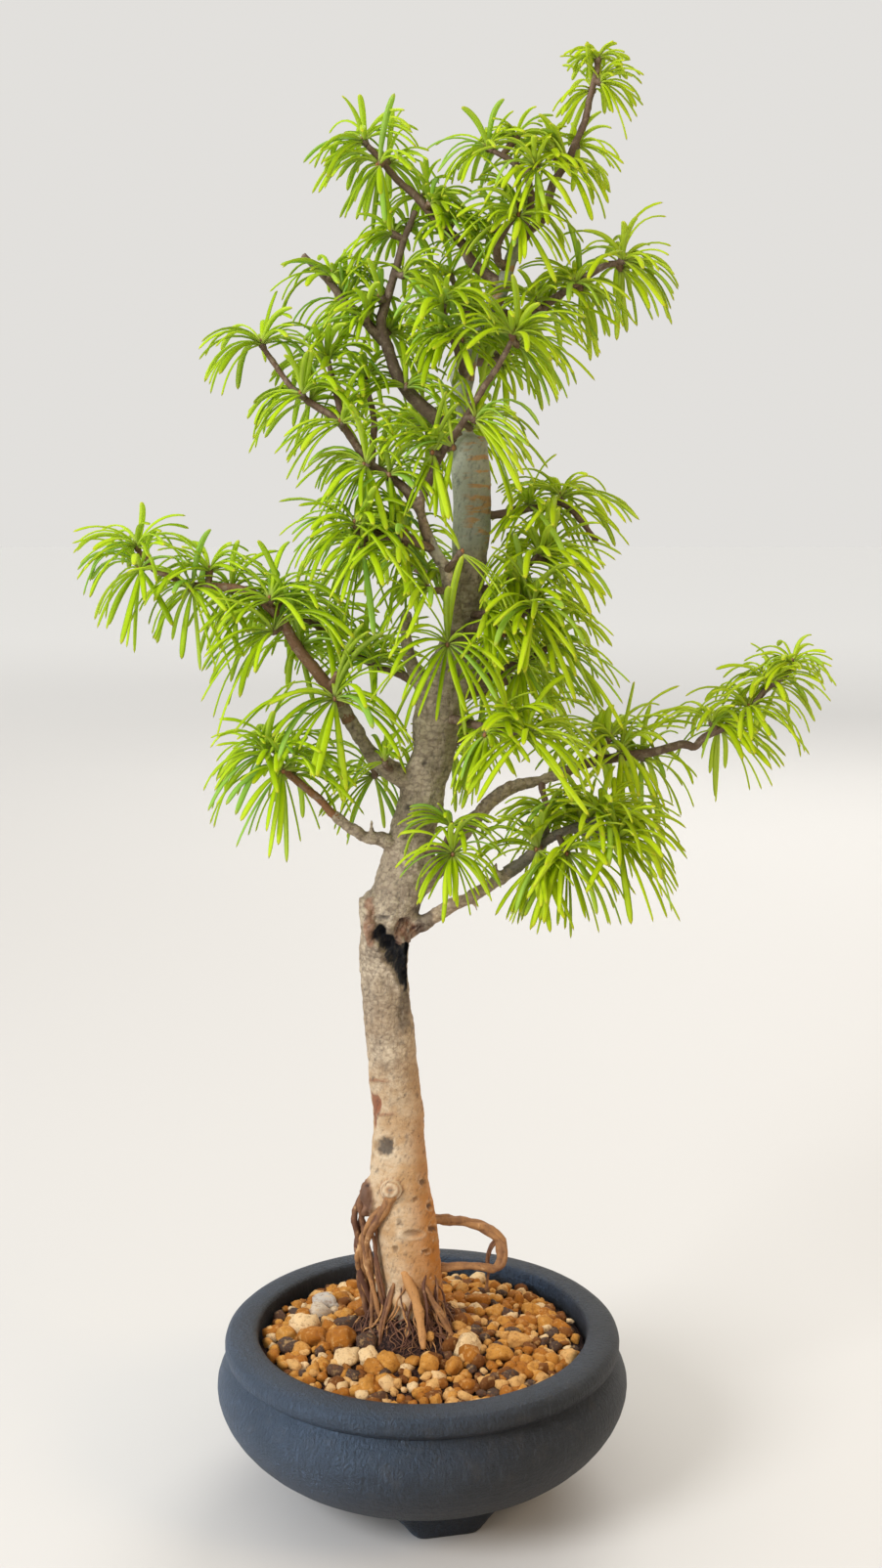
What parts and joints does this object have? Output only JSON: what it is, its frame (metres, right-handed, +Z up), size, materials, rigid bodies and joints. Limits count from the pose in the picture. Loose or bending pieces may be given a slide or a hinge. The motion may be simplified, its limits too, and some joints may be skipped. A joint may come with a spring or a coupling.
{
  "type": "potted bonsai tree",
  "caption": "Golden larch bonsai with a leaning forked trunk and whorls of flat needles, in granular soil in a round bellied clay pot on low feet.",
  "frame": {"origin": "centre of the plant's overall width and depth, on the plane the pot's feet stand on", "axes": "+Z up along the height, +X to the right and -Y towards the viewer as seen in the picture"},
  "size_m": [0.3223, 0.18, 0.6099],
  "materials": {
    "pot": "matt unglazed dark clay",
    "drain_screen": "matt",
    "soil": "granular, mixed amber, pale and grey grains",
    "trunk": "flaking grey-brown bark",
    "foliage": "satin green needles on thin brown shoots"
  },
  "bodies": {
    "root": {"pot": "pot", "drain_screen": "drain_screen", "soil": "soil", "trunk": "trunk", "stem_top_leader": "foliage", "stem_top_middle": "foliage", "stem_top_front": "foliage", "stem_top_left": "foliage", "stem_left_upright": "foliage", "stem_left_high": "foliage", "stem_riser_right": "foliage", "stem_upper_right": "foliage", "stem_upper_front": "foliage", "stem_upper_back": "foliage", "stem_upper_right_back": "foliage", "stem_chop_back": "foliage", "stem_mid_left": "foliage", "stem_mid_left_back": "foliage", "stem_back": "foliage", "spur_riser_left": "foliage", "spur_fork_front": "foliage", "spur_riser_right": "foliage", "spur_leader_front": "foliage", "stem_right_upper": "foliage", "stem_right_a": "foliage", "stem_right_b": "foliage", "stem_right_c": "foliage", "stem_right_d": "foliage", "stem_right_back": "foliage", "stem_right_long": "foliage", "stem_low_right": "foliage", "spur_right_under": "foliage", "stem_low_star": "foliage", "stem_low_left": "foliage", "stem_left_long": "foliage", "stem_left_back": "foliage", "spur_left_under": "foliage", "spur_left_front": "foliage"}
  },
  "joints": []
}
